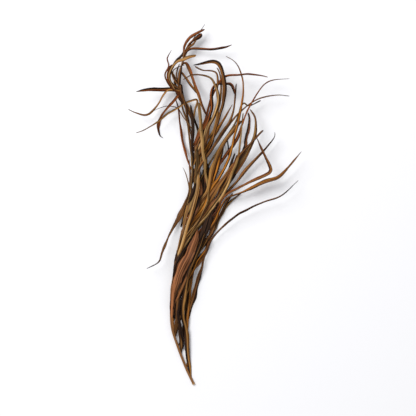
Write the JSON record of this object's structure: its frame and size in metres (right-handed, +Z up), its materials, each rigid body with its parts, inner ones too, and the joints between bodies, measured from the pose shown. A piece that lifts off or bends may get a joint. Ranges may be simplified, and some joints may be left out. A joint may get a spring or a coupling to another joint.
{
  "type": "dried areca palm frond",
  "caption": "Dried areca palm frond with folded, curled leaflets closed up along a thin stalk; lies on a surface as dry foliage.",
  "frame": {"origin": "centre of the box in plan, at the surface that the frond lies on", "axes": "+Y from the cut end of the stalk towards the tip, +Z up from the surface, +X to the right seen from above"},
  "size_m": [0.431, 0.9033, 0.0552],
  "materials": {
    "dried_leaf": "dry, fibrous plant leaf, matt with a faint sheen along its fibres"
  },
  "bodies": {
    "root": {"frond": "dried_leaf"}
  },
  "joints": []
}
